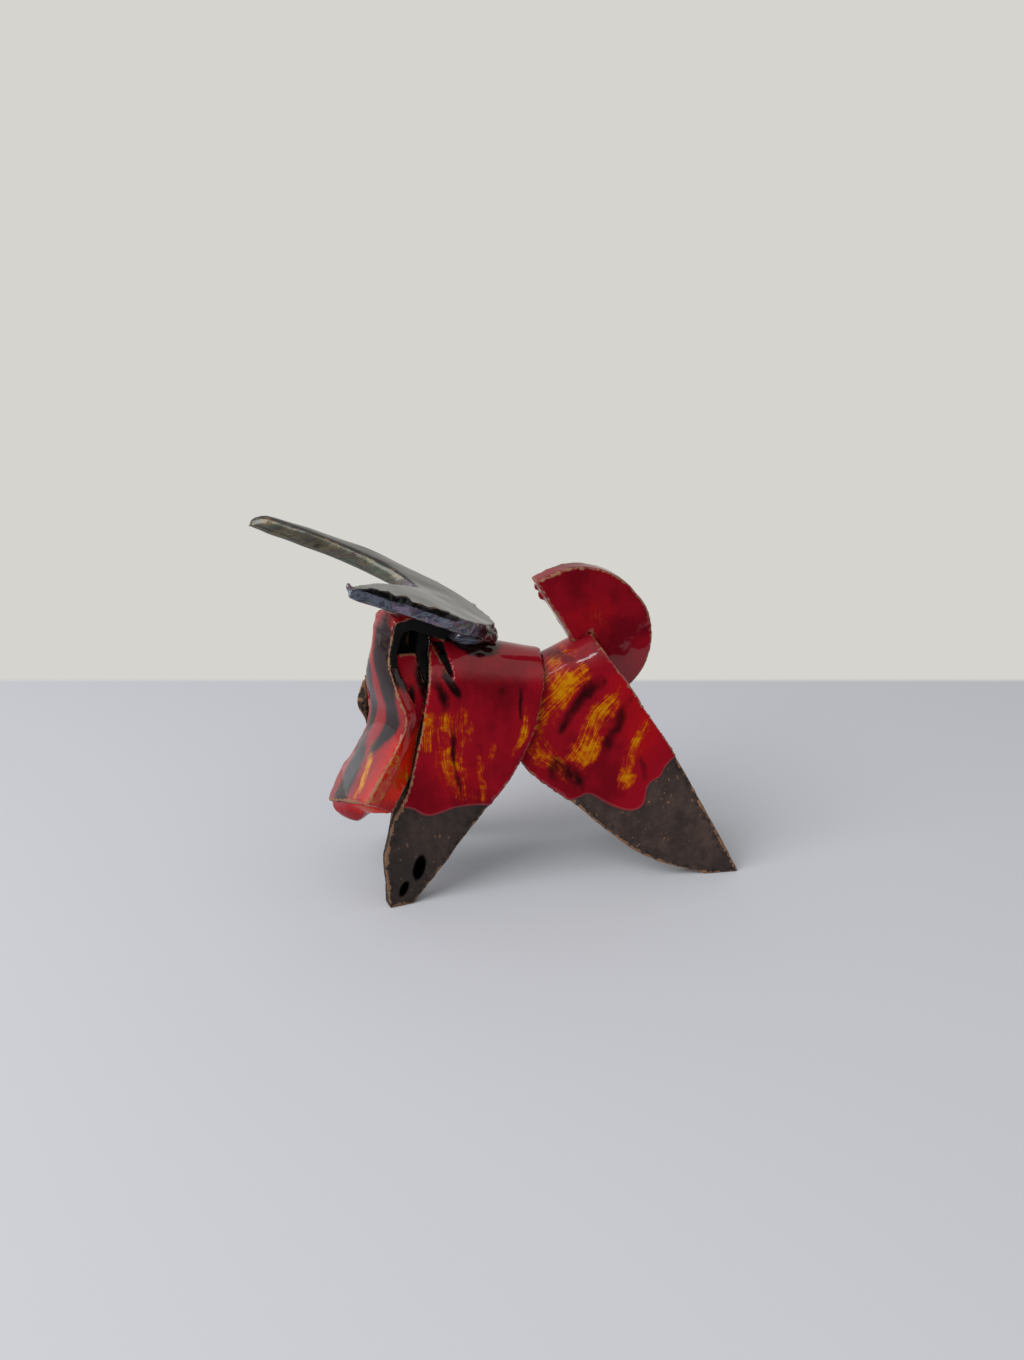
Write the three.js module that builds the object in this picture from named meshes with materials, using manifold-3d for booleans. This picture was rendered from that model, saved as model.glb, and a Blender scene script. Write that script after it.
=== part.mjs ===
// Slab-built bull figurine: sheets of clay, cut with a knife, bent, lapped and luted together, then fired.
// Millimetres, +Z up. The bull looks along -X, its left side is -Y, and it stands on Z = 0.
import * as THREE from "three";
import { mergeVertices } from "three/addons/utils/BufferGeometryUtils.js";
import Module from "manifold-3d";

const wasm = await Module();
wasm.setup();

// Clay sheets
const BODY_SLAB = 5;
const HEAD_SLAB = 4;
const NOSE_SLAB = 3;
const HORN_SLAB = 4.8;
const TAIL_SLAB = 5.5;
const JOINT_GAP = 0.3;
const FOOT_TRIM = 3;

// Cut edges of the two body slabs. Each runs over the ridge on an arc and straight down to two feet,
// whose outer faces stand 2 x spread apart. The outline is the side view: [height, distance along the body].
const NECK_EDGE = {
  ridge: 79,
  radius: 16,
  spread: 26,
  outline: [[0, -3.2], [6, -3.6], [20, -0.5], [38, 4.6], [55, 8.8], [68, 11.5], [79, 14]],
};
const WAIST_EDGE = {
  ridge: 72.5,
  radius: 13,
  spread: 24,
  outline: [[0, 4], [9, 12], [25, 25.5], [42, 39], [52, 43.5], [62, 46], [72.5, 47]],
};
const RIGHT_LEG_SETBACK = 3.5;

// A slit in the left flank frees a pointed tab at the neck. Its side view is [distance along the body, height
// above the neck], and it is cut from outside up to a distance from the spine.
const NECK_SLIT = [[20.4, -15.7], [12.6, 1], [15.6, 1]];
const NECK_SLIT_STOP = 4;

// The rear slab starts inside the front one, so its first edge sits below the waist on a tighter bend.
const LAP_DROP = 6;
const LAP_TIGHTENING = 2;
const BELLY_EDGE = {
  ridge: WAIST_EDGE.ridge - LAP_DROP,
  radius: WAIST_EDGE.radius - LAP_TIGHTENING,
  spread: 20,
  outline: [[0, 101], [1.5, 94], [6.4, 80.5], [15.2, 67.5], [25.4, 56], [33, 46], [40, 39], [52, 37], [66, 38]],
};
const RUMP_EDGE = {
  ridge: 78,
  radius: 12,
  spread: 20,
  outline: [[0, 110], [12, 103.5], [40, 88], [64, 72], [78, 62.5]],
};

// Head, turned to the bull's left about a pivot on the spine. The face line is the strip's outer face in side
// view, from its end on the back, over the brow, to the nose: [distance ahead of the pivot, height above the neck].
const HEAD_PIVOT_X = 16;
const HEAD_YAW = THREE.MathUtils.degToRad(28);
const MUZZLE_ROLL = THREE.MathUtils.degToRad(17);
const MUZZLE_START = 0.6;
const FACE_LINE = [
  [0, 3.5], [8, 7], [15, 9.5], [20, 7], [22, 1.5], [23, -5],
  [22.2, -14], [20.6, -21.5], [21.8, -27], [26.4, -33.5], [31.4, -39.5], [35.4, -46.6],
];
const FACE_WIDTHS = [15, 16, 16.5, 15, 13, 13, 19, 22.5, 21, 24, 28, 27];
const FACE_CROWN = 1.2;

// Cheeks run down behind the strip from a little below the brow; the right one swings out past the strip.
const CHEEK_TOP = 0.42;
const CHEEK_DEPTH = 11.5;
const CHEEK_INSET = 2;
const RIGHT_CHEEK_BULGE = 6.5;
const RIGHT_CHEEK_BULGE_RUN = [0.31, 0.73];

// The right cheek, and the throat slab behind both cheeks, stand up past the left cheek to the strip's underside.
const HEAD_RISE = 10;
const HEAD_RISE_SHARE = 0.25;

// The nose plate starts behind the strip's outer face and curls up at both ends.
const NOSE_START = 2.5;
const NOSE_CURL = 4;

// Horns: one crescent slab, lying on the back and the brow and rising to the front. Its underside passes over
// the end of the neck at the lift. Plan outlines from the left tip round to the right tip: [distance along the
// body, distance across].
const HORN_LIFT = 6.5;
const HORN_PITCH = THREE.MathUtils.degToRad(22);
const HORN_ARCH = 3;
const HORN_LEFT_TIP_SLAB = 3;
const HORN_RIGHT_SLAB = 6.6;
const HORN_RIGHT_TIP_SLAB = 5;
const HORN_RIGHT_RISE = 1.8;
const HORN_OUTER = [[-10, -33.5], [6.5, -24], [25, -13], [33.5, 4], [26, 21.5], [3, 29], [-41, 36.5]];
const HORN_INNER = [[-10.5, -31.4], [-4, -17], [5, -3], [9.5, 4.5], [4, 14], [-14, 23.5], [-41.5, 33.2]];

// Wad of clay between the ridge and the horns, squeezed out a little above and below
const SEAT_X = 24.5;
const SEAT_LENGTH = 15;
const SEAT_WIDTH = 14;
const SEAT_SQUEEZE = 2.5;

// Tail: a half-moon slab on the rear end of the ridge. Side view of its round edge, from the front tip to the
// rear: [distance behind the end of the ridge, height above it].
const TAIL_EDGE = [
  [-19, 17.8], [-10.5, 20.9], [-2.5, 21.2], [7, 18], [15, 10.8], [20.2, 2], [20.6, -9], [16.5, -18], [7.5, -23],
];
const TAIL_YAW = THREE.MathUtils.degToRad(10);
const TAIL_LEAN = THREE.MathUtils.degToRad(7);

// Facets of each piece: along it and across it
const SADDLE_GRID = [10, 72];
const STRIP_GRID = [44, 6];
const CHEEK_GRID = [32, 3];
const NOSE_GRID = [3, 12];
const HORN_GRID = [36, 5];
const SEAT_GRID = [20, 12];
const TAIL_STEPS = 36;

// Side of the block that stands for the table, and the step for slopes of a curve
const TABLE = 400;
const STEP = 1e-3;

// A smooth value through [position, value] pairs, held at its ends.
function graph(pairs) {
  const positions = pairs.map(([position]) => position);
  const values = pairs.map(([, value]) => value);
  const line = new THREE.CubicInterpolant(positions, values, 1);
  return (position) => line.evaluate(position)[0];
}

// A smooth curve through points, carried on straight past both ends.
function path(points) {
  const curve = new THREE.CatmullRomCurve3(points.map(([x, y, z = 0]) => new THREE.Vector3(x, y, z)));
  return (t) => {
    const inside = THREE.MathUtils.clamp(t, 0, 1);
    const point = curve.getPoint(inside);
    if (inside === t) return point;
    const step = STEP * Math.sign(t - inside);
    const back = curve.getPoint(inside - step);
    return point.clone().addScaledVector(point.clone().sub(back), (t - inside) / step);
  };
}

function solidFrom(positions, triangles) {
  const mesh = new wasm.Mesh({
    numProp: 3,
    vertProperties: new Float32Array(positions),
    triVerts: new Uint32Array(triangles),
  });
  return new wasm.Manifold(mesh);
}

function solidOf(geometry) {
  const bare = geometry.clone();
  bare.deleteAttribute("normal");
  bare.deleteAttribute("uv");
  const merged = mergeVertices(bare, 1e-4);
  return solidFrom(merged.attributes.position.array, merged.index.array);
}

// A clay sheet behind an outer face, which is a function of u and v from 0 to 1 whose du x dv points outwards.
// The thickness may change along u. The sheet can be grown all round, to cut room for its joint into a neighbour.
function sheet(face, thickness, [along, across]) {
  return (grow = 0) => {
    const positions = [];
    const rim = (index, last) => (index === 0 ? -grow : index === last ? grow : 0);
    for (const depthAt of [() => grow, (u) => -thickness(u) - grow]) {
      for (let i = 0; i <= along; i++) {
        for (let j = 0; j <= across; j++) {
          const u = i / along;
          const v = j / across;
          const depth = depthAt(u);
          const du = face(u + STEP, v).sub(face(u - STEP, v)).normalize();
          const dv = face(u, v + STEP).sub(face(u, v - STEP)).normalize();
          const normal = du.clone().cross(dv).normalize();
          const point = face(u, v).addScaledVector(normal, depth);
          point.addScaledVector(du, rim(i, along)).addScaledVector(dv, rim(j, across));
          positions.push(point.x, point.y, point.z);
        }
      }
    }
    const layer = (along + 1) * (across + 1);
    const outer = (i, j) => i * (across + 1) + j;
    const inner = (i, j) => layer + outer(i, j);
    const triangles = [];
    const quad = (a, b, c, d) => triangles.push(a, b, c, a, c, d);
    for (let i = 0; i < along; i++) {
      for (let j = 0; j < across; j++) {
        quad(outer(i, j), outer(i + 1, j), outer(i + 1, j + 1), outer(i, j + 1));
        quad(inner(i, j), inner(i, j + 1), inner(i + 1, j + 1), inner(i + 1, j));
      }
      quad(outer(i, 0), inner(i, 0), inner(i + 1, 0), outer(i + 1, 0));
      quad(outer(i, across), outer(i + 1, across), inner(i + 1, across), inner(i, across));
    }
    for (let j = 0; j < across; j++) {
      quad(outer(0, j), outer(0, j + 1), inner(0, j + 1), inner(0, j));
      quad(outer(along, j), inner(along, j), inner(along, j + 1), outer(along, j + 1));
    }
    return solidFrom(positions, triangles);
  };
}

// What is left of a piece when its neighbours are cut out of it and the offcuts are thrown away.
function fitted(piece, ...neighbours) {
  const left = neighbours.reduce((rest, neighbour) => rest.subtract(neighbour), piece);
  return left.decompose().reduce((a, b) => (a.volume() > b.volume() ? a : b));
}

// One cut edge of a body slab, from the left foot (-1) over the ridge (0) to the right foot (1).
function bentEdge({ ridge, radius, spread, outline }, setback = 0) {
  const centre = ridge - radius;
  const reach = Math.hypot(spread, centre);
  const bend = Math.PI - Math.atan2(spread, centre) - Math.acos(radius / reach);
  const arc = radius * bend;
  const leg = Math.sqrt(reach ** 2 - radius ** 2) + FOOT_TRIM;
  const along = graph(outline);
  return (side) => {
    const run = Math.abs(side) * (arc + leg);
    const turn = Math.min(run / radius, bend);
    const down = Math.max(run - arc, 0);
    const across = radius * Math.sin(turn) + down * Math.cos(turn);
    const height = centre + radius * Math.cos(turn) - down * Math.sin(turn);
    return new THREE.Vector3(along(height) + setback * Math.max(side, 0), Math.sign(side) * across, height);
  };
}

function saddle(frontEdge, rearEdge, setback) {
  const front = bentEdge(frontEdge, setback);
  const rear = bentEdge(rearEdge, setback);
  return sheet((u, v) => front(2 * v - 1).lerp(rear(2 * v - 1), u), () => BODY_SLAB, SADDLE_GRID);
}

function neckSlit() {
  const outline = new THREE.Shape(NECK_SLIT.map(([x, above]) => new THREE.Vector2(x, NECK_EDGE.ridge + above)));
  const wedge = new THREE.ExtrudeGeometry(outline, { depth: NECK_EDGE.spread, bevelEnabled: false });
  return solidOf(wedge.rotateX(Math.PI / 2).translate(0, -NECK_SLIT_STOP, 0));
}

// Height of the back's ridge, which runs straight from the neck to the waist.
function ridgeAt(x) {
  const [, neckX] = NECK_EDGE.outline.at(-1);
  const [, waistX] = WAIST_EDGE.outline.at(-1);
  return THREE.MathUtils.mapLinear(x, neckX, waistX, NECK_EDGE.ridge, WAIST_EDGE.ridge);
}

function ground() {
  return solidOf(new THREE.BoxGeometry(TABLE, TABLE, TABLE).translate(0, 0, -TABLE / 2));
}

// A point of the head: t along the face line, a distance to the bull's right, and a depth behind the strip's face.
const faceLine = path(FACE_LINE.map(([ahead, above]) => [ahead, NECK_EDGE.ridge + above]));
const faceWidth = graph(FACE_WIDTHS.map((width, i) => [i / (FACE_WIDTHS.length - 1), width]));
const AHEAD = new THREE.Vector3(-Math.cos(HEAD_YAW), -Math.sin(HEAD_YAW), 0);
const RIGHT = new THREE.Vector3(-Math.sin(HEAD_YAW), Math.cos(HEAD_YAW), 0);
const UP = new THREE.Vector3(0, 0, 1);

function faceFrame(t) {
  const centre = faceLine(t);
  const tangent = faceLine(t + STEP).sub(faceLine(t - STEP)).normalize();
  const roll = MUZZLE_ROLL * THREE.MathUtils.smoothstep(t, MUZZLE_START, 1);
  return { centre, tangent, roll };
}

function headPoint(t, side, depth, beyond = 0) {
  const { centre, tangent, roll } = faceFrame(t);
  const ahead = centre.x + tangent.y * depth + tangent.x * beyond;
  const height = centre.y - tangent.x * depth + tangent.y * beyond - side * Math.sin(roll);
  return new THREE.Vector3(HEAD_PIVOT_X, 0, 0)
    .addScaledVector(AHEAD, ahead)
    .addScaledVector(RIGHT, side * Math.cos(roll))
    .addScaledVector(UP, height);
}

const headSlab = () => HEAD_SLAB;
const cheekRun = (u) => CHEEK_TOP + (1 - CHEEK_TOP) * u;
const cheekSide = (t) => faceWidth(t) / 2 - CHEEK_INSET;

// How far the right cheek has swung out, from 0 at its ends to 1.
function swing(u) {
  const [start, end] = RIGHT_CHEEK_BULGE_RUN;
  return Math.sin(Math.PI * THREE.MathUtils.clamp((u - start) / (end - start), 0, 1)) ** 2;
}

const faceStrip = sheet((u, v) => {
  const side = 1 - 2 * v;
  return headPoint(u, (side * faceWidth(u)) / 2, FACE_CROWN * side ** 2);
}, headSlab, STRIP_GRID);

const leftCheek = sheet((u, v) => {
  const t = cheekRun(u);
  return headPoint(t, -cheekSide(t), THREE.MathUtils.lerp(HEAD_SLAB, CHEEK_DEPTH, v));
}, headSlab, CHEEK_GRID);

// A point of the slabs that stand up past the left cheek: u from their top to the nose.
function raisedPoint(u, sideAt, depth) {
  const run = THREE.MathUtils.mapLinear(u, HEAD_RISE_SHARE, 1, 0, 1);
  const t = cheekRun(Math.max(run, 0));
  const rise = HEAD_RISE * Math.max(1 - u / HEAD_RISE_SHARE, 0);
  return headPoint(t, sideAt(t), depth, -rise);
}

const rightCheek = sheet((u, v) => {
  const front = HEAD_SLAB * (1 - swing(u));
  const sideAt = (t) => cheekSide(t) + RIGHT_CHEEK_BULGE * swing(u);
  return raisedPoint(u, sideAt, THREE.MathUtils.lerp(CHEEK_DEPTH, front, v));
}, headSlab, CHEEK_GRID);

const throatSlab = sheet((u, v) => {
  return raisedPoint(u, (t) => (2 * v - 1) * cheekSide(t), CHEEK_DEPTH + JOINT_GAP + HEAD_SLAB);
}, headSlab, CHEEK_GRID);

const nosePlate = sheet((u, v) => {
  const side = 1 - 2 * v;
  const depth = THREE.MathUtils.lerp(NOSE_START, CHEEK_DEPTH, u);
  return headPoint(1, side * cheekSide(1), depth, NOSE_SLAB + JOINT_GAP - NOSE_CURL * side ** 2);
}, () => NOSE_SLAB, NOSE_GRID);

const hornOuter = path(HORN_OUTER);
const hornInner = path(HORN_INNER);
const hornRear = Math.max(...HORN_OUTER.map(([x]) => x));
const hornLength = hornRear - Math.min(...HORN_OUTER.map(([x]) => x));

// Height of the underside of the horns' full thickness.
function hornUnderside(x) {
  const [, neckX] = NECK_EDGE.outline.at(-1);
  const arch = (at) => HORN_ARCH * Math.sin((Math.PI * (hornRear - at)) / hornLength);
  return NECK_EDGE.ridge + HORN_LIFT + (neckX - x) * Math.tan(HORN_PITCH) + arch(x) - arch(neckX);
}

// How far along the right horn u is, from 0 at the middle of the crescent to 1 at the tip.
const rightHorn = (u) => THREE.MathUtils.smoothstep(u, 0.5, 1);

function hornThickness(u) {
  const tip = u < 0.5 ? HORN_LEFT_TIP_SLAB : HORN_RIGHT_TIP_SLAB;
  const arm = THREE.MathUtils.lerp(HORN_SLAB, HORN_RIGHT_SLAB, rightHorn(u));
  return THREE.MathUtils.lerp(tip, arm, Math.sqrt(Math.sin(Math.PI * THREE.MathUtils.clamp(u, 0, 1))));
}

const hornSlab = sheet((u, v) => {
  const point = hornOuter(u).lerp(hornInner(u), v);
  return point.setZ(hornUnderside(point.x) + HORN_SLAB / Math.cos(HORN_PITCH) + HORN_RIGHT_RISE * rightHorn(u));
}, hornThickness, HORN_GRID);

function hornSeat() {
  const low = ridgeAt(SEAT_X) - SEAT_SQUEEZE;
  const high = hornUnderside(SEAT_X) + SEAT_SQUEEZE;
  const wad = new THREE.SphereGeometry(0.5, ...SEAT_GRID).scale(SEAT_LENGTH, SEAT_WIDTH, high - low);
  return solidOf(wad.translate(SEAT_X, 0, (low + high) / 2));
}

function tailSlab() {
  const [ridge, end] = RUMP_EDGE.outline.at(-1);
  const edge = TAIL_EDGE.map(([behind, above]) => new THREE.Vector2(behind, above));
  const outline = new THREE.Shape(new THREE.SplineCurve(edge).getPoints(TAIL_STEPS));
  const slab = new THREE.ExtrudeGeometry(outline, { depth: TAIL_SLAB, bevelEnabled: false });
  slab.translate(0, 0, -TAIL_SLAB / 2).rotateX(Math.PI / 2);
  return solidOf(slab.rotateX(TAIL_LEAN).rotateZ(TAIL_YAW).translate(end, 0, ridge));
}

const frontSaddle = saddle(NECK_EDGE, WAIST_EDGE, RIGHT_LEG_SETBACK);
const rearSaddle = saddle(BELLY_EDGE, RUMP_EDGE, 0);

// Each slab is fitted to the ones that were in place before it.
const fits = {
  rear_saddle: [rearSaddle(), ground()],
  front_saddle: [frontSaddle(), rearSaddle(JOINT_GAP), neckSlit(), ground()],
  tail_slab: [tailSlab(), rearSaddle(JOINT_GAP)],
  horn_slab: [hornSlab(), frontSaddle(JOINT_GAP)],
  face_strip: [faceStrip(), hornSlab(JOINT_GAP), frontSaddle(JOINT_GAP)],
  left_cheek: [leftCheek(), faceStrip(JOINT_GAP), frontSaddle(JOINT_GAP)],
  right_cheek: [rightCheek(), faceStrip(JOINT_GAP), frontSaddle(JOINT_GAP)],
  throat_slab: [
    throatSlab(), leftCheek(JOINT_GAP), rightCheek(JOINT_GAP), frontSaddle(JOINT_GAP), faceStrip(JOINT_GAP),
    hornSlab(JOINT_GAP),
  ],
  nose_plate: [
    nosePlate(), faceStrip(JOINT_GAP), leftCheek(JOINT_GAP), rightCheek(JOINT_GAP), throatSlab(JOINT_GAP),
  ],
  horn_seat: [
    hornSeat(), hornSlab(JOINT_GAP), frontSaddle(JOINT_GAP), faceStrip(JOINT_GAP), throatSlab(JOINT_GAP),
  ],
};
const solids = Object.entries(fits).map(([name, [piece, ...neighbours]]) => [name, fitted(piece, ...neighbours)]);

const RED_GLAZE = { color: 0x7a0f18, roughness: 0.15, metalness: 0 };
const BLACK_LUSTRE = { color: 0x1c1d20, roughness: 0.12, metalness: 0 };
const BARE_CLAY = { color: 0x3a2b26, roughness: 0.85, metalness: 0 };
const finishes = { horn_slab: BLACK_LUSTRE, horn_seat: BLACK_LUSTRE, throat_slab: BARE_CLAY };

const figure = new THREE.Group();
for (const [name, solid] of solids) {
  const { numProp, vertProperties, triVerts } = solid.getMesh();
  const positions = Float32Array.from({ length: (vertProperties.length / numProp) * 3 }, (_, i) =>
    vertProperties[Math.floor(i / 3) * numProp + (i % 3)]);
  const geometry = new THREE.BufferGeometry();
  geometry.setAttribute("position", new THREE.BufferAttribute(positions, 3));
  geometry.setIndex(new THREE.BufferAttribute(triVerts, 1));
  geometry.computeVertexNormals();
  const mesh = new THREE.Mesh(geometry, new THREE.MeshStandardMaterial(finishes[name] ?? RED_GLAZE));
  mesh.name = name;
  figure.add(mesh);
}

// The origin is under the middle of the figure, on the table.
const box = new THREE.Box3().setFromObject(figure);
const middle = box.getCenter(new THREE.Vector3());
figure.position.set(-middle.x, -middle.y, -box.min.z);

const bull = new THREE.Group();
bull.add(figure);
export default bull;
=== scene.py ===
"""Slab-built ceramic bull: every clay slab is remodelled around its solid and nicked, and all but the throat
slab are glazed.
"""
import math
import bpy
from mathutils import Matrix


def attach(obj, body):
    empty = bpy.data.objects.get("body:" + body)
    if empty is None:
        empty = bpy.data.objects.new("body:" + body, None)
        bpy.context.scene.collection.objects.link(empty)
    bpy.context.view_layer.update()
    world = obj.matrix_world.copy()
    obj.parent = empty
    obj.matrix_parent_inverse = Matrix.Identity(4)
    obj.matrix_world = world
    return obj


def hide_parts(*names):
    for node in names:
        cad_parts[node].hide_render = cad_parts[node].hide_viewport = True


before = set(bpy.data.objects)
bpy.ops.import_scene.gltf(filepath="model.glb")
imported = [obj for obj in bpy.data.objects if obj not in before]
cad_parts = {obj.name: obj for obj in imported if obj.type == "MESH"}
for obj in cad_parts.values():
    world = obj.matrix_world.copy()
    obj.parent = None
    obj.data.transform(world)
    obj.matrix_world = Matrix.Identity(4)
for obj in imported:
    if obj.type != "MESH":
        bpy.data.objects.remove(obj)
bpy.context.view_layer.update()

import bpy
import numpy as np
from mathutils import Vector
from mathutils.kdtree import KDTree

bl_info = {
    "name": "Slab-built bull",
    "version": (1, 0, 0),
    "blender": (4, 5, 0),
    "location": "View3D > Sidebar > Bull",
    "description": "Models and glazes a slab-built ceramic bull around its packed solids",
    "category": "Object",
}

MM = 0.001


def paint(red, green, blue):
    """A scene-linear colour from screen values of 0 to 255."""
    shares = [value / 255 for value in (red, green, blue)]
    return [s / 12.92 if s <= 0.04045 else ((s + 0.055) / 1.055) ** 2.4 for s in shares] + [1.0]


# The head is turned to its left about an upright line through the neck.
HEAD_PIVOT = np.array((-17.7, -1.5))
HEAD_TURN = math.radians(28)
HEAD_AHEAD = np.array((-math.cos(HEAD_TURN), -math.sin(HEAD_TURN)))
HEAD_RIGHT = np.array((-math.sin(HEAD_TURN), math.cos(HEAD_TURN)))

# The top of the horn slab: its height in mm at the origin, and its slopes along x and y.
HORN_TOP = (80.6, -0.522, 0.02)

# A point at the root of the near horn in mm, and the way from there to its outer edge.
NEAR_ROOT = np.array((-14, -9))
NEAR_OUT = np.array((0.61, -0.79))

# The slit that frees the tab at the neck: the heights of its ends and x there, in mm.
SLIT_HEIGHTS = (63.3, 79)
SLIT_X = (-13.3, -19.5)

# The height in mm from which the body slabs bend over.
BEND_HEIGHT = 55

# How far parts of the slabs are bent away from their solids.
TAB_IN = 1.4 * MM
TAB_AHEAD = 1.2 * MM
LEG_BOW = 2.6 * MM
BROW_IN = 2.6 * MM
BROW_UP = 2.6 * MM
CHEEK_AHEAD = 1.8 * MM
CHEEK_OUT = 2.2 * MM
NOSE_DROP = 1.5 * MM
NOSE_TUCK = 2.5 * MM
NOSE_SHUT = 2.4 * MM
NOSE_AHEAD = 1.8 * MM
TIP_DOWN = 2.6 * MM
TIP_UP = 1.2 * MM

# Depth and size of the lumps on the horns.
FOLDS = (2.2 * MM, 4.5 * MM)
SWELL = (0.9 * MM, 8 * MM)
LIP = (2.4 * MM, 7 * MM)
GROOVE = (1.0 * MM, 3 * MM)

# Sizes of the lumps that hand rolling leaves on a slab, and of the nicks along its edges.
WOBBLE_SIZE = 16 * MM
NICK_SIZE = 4 * MM

# Edges sharper than this are cut edges, which are measured in steps of this many mm.
CUT_ANGLE = math.radians(50)
EDGE_STEP = 0.3

# Smoothing passes that round the longer horn, steps of a vertex group, and a drop's height for its width.
ARM_ROUNDING = 110
WEIGHT_STEPS = 40
DROP_STRETCH = 1.5

# In mm: how deep in the glaze a slab glazed all over lies, how that grows as a surface turns outwards,
# and what is added to the distance from an edge to hide its worn line.
ALL_OVER = 8.0
TURN_REACH = 6.0
NO_LINE = 3.0

# Where the glaze stops above the bare feet: x and height, in mm.
FRONT_STOP = [(-60, 33), (-30.3, 31.8), (-25, 27.3), (-20.8, 27.8), (-16.4, 29.2), (-10.8, 29.5), (0, 28.2)]
REAR_STOP = [
    (0, 28), (18.4, 27), (23.3, 27.5), (26.8, 29.6), (32.6, 25.3), (38.4, 22.7),
    (42.6, 22.8), (44.9, 25), (45.5, 31.5), (50, 33.2), (51.5, 37.7), (60, 43),
]

# Brush marks: kind, strength, half width in mm at the start and at the end, and the run of the brush in mm.
# A run gives x and height, or on the face and nose the place right of the middle and height.
FRONT_MARKS = [
    ("flame", 0.42, 6, 6, (-17, 70), (-15.5, 50), (-13, 18)),
    ("flame", 0.58, 2.6, 2.2, (-22.6, 63), (-23.6, 53), (-24, 42)),
    ("flame", 0.54, 1.8, 1.6, (-18.6, 66), (-17.4, 48), (-16, 25)),
    ("flame", 0.54, 1.8, 1.6, (-13.4, 62), (-13.2, 45), (-12.4, 24)),
    ("flame", 0.46, 1.6, 1.4, (-7.6, 56), (-7, 42), (-7.2, 25)),
    ("flame", 0.4, 1.4, 1.4, (-3.2, 52), (-4.4, 32)),
    ("flame", 0.58, 1.8, 1.2, (9.4, 61), (6.4, 52.5), (0.2, 40)),
    ("dark", 0.62, 2.2, 1.3, (-22, 73), (-19.2, 64.5), (-17.4, 55)),
    # The dark run along the slit is partly black glaze and partly painted shade in the slit.
    ("dark", 0.95, 1.5, 1.2, (-18, 72), (-13.2, 60)),
    ("dark", 0.6, 1, 0.9, (-15.8, 62), (-15.2, 45), (-14, 25)),
    # The black run just under the horns is partly black glaze and partly painted shadow and reflection of
    # the horns' underside.
    ("dark", 1.1, 2, 1.2, (-24, 82), (-12, 77.6), (-6.5, 75.4), (5, 72.6)),
    ("dark", 0.36, 5, 4, (-12, 66), (0, 63), (7, 67)),
    ("dark", 0.7, 0.9, 0.7, (5.8, 66), (5.2, 51)),
    ("warm", 0.35, 8, 7, (-26, 42), (-2, 36)),
]
REAR_MARKS = [
    ("warm", 0.55, 9, 8, (34, 76), (46, 54), (44, 34)),
    ("flame", 0.74, 6, 2.2, (3, 48), (12, 55), (19, 63), (31, 73)),
    ("flame", 0.5, 3.4, 2, (8, 64), (16, 69), (28, 74)),
    ("flame", 0.78, 5.6, 1.8, (18, 34), (26, 45), (31, 54), (39, 68)),
    ("flame", 0.66, 3, 1.6, (35, 25), (40.5, 40), (47, 56)),
    ("flame", 0.6, 3.8, 2, (6, 50), (13, 41), (28, 28)),
    ("dark", 0.62, 1.6, 2.8, (12, 45), (23, 56), (34, 72)),
    ("dark", 0.6, 2.6, 1.4, (29, 36), (35, 48), (41, 64)),
    ("dark", 0.66, 3.6, 2.4, (11, 41), (20, 35), (30, 30)),
    ("dark", 0.5, 2, 1.4, (10, 73), (26, 69)),
    ("dark", 0.5, 1.4, 1.2, (43, 44), (45, 30)),
    ("dark", 0.36, 3, 2, (7, 64), (12, 50)),
]
FACE_MARKS = [
    ("dark", 1.2, 3.9, 2.4, (-4, 96), (-3.6, 80), (-3.6, 72), (-5.4, 62), (-4.8, 55), (-3.8, 51), (-1, 45),
     (1.6, 36)),
    ("dark", 1.2, 2.8, 2, (6, 96), (6, 72), (6, 62), (6.8, 53), (6.4, 40)),
    ("dark", 1, 3.8, 4.8, (8.2, 54), (4.8, 43), (3, 37), (4, 30), (5, 16)),
    ("flame", 0.95, 1.1, 1.3, (1.4, 53), (-1, 46.5), (-4.6, 41), (-6.4, 38), (-6, 33), (-4.4, 28)),
    ("warm", 1, 6, 6, (-15, 56), (-14, 46), (-15, 28)),
    ("flame", 0.5, 4, 4, (-16, 56), (-14, 46), (-16, 28)),
]
CHEEK_MARKS = [
    ("warm", 1.1, 9, 9, (-29, 60), (-33, 42), (-35, 26)),
    ("flame", 0.34, 7, 7, (-28, 58), (-32, 42), (-35, 28)),
    ("dark", 0.8, 2.4, 2, (-25, 76), (-23.8, 60)),
    # Painted shadow: a thin dark stroke for the crack on the cheek just behind the strap's edge.
    ("dark", 0.9, 1.2, 0.9, (-27.4, 70), (-29, 60), (-31.5, 52)),
]
TAIL_MARKS = [
    ("warm", 0.4, 9, 8, (24, 92), (34, 72)),
    ("flame", 0.27, 5.5, 5, (30, 92), (33, 81), (37, 68)),
    ("dark", 0.4, 2.6, 2.2, (42, 96), (48, 84), (46, 70)),
]
NOSE_MARKS = [
    ("warm", 1.2, 5, 5, (-9, 40), (-9, 28), (-9, 12)),
    ("flame", 0.4, 4, 4, (-9, 40), (-9, 28), (-9, 12)),
]
# Dark spots on the bare near foot: x, height, half width and half height in mm, and how far they lean.
FOOT_SPOTS = [(-27.3, 11.5, 2, 4.1, 0.22), (-32.2, 5.4, 1.4, 2.5, 0.36)]

# Drops of glaze that hang from edges: place and radius in mm.
HORN_DROPS = [
    (-2.2, -6.6, 78, 1.6), (-1.2, -2.4, 77, 1.3), (-4, -10.2, 79.2, 1.3), (-0.8, 2.6, 76.8, 1.3),
    (-44.5, -32.6, 100.8, 0.9),
]
TAIL_DROPS = [(13.8, -4.2, 90.4, 1.1), (12.3, -4.2, 93.2, 0.9)]

# Reds of the face from deep to bright.
FACE_REDS = (paint(118, 12, 20), paint(146, 22, 28), paint(190, 30, 18))

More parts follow.
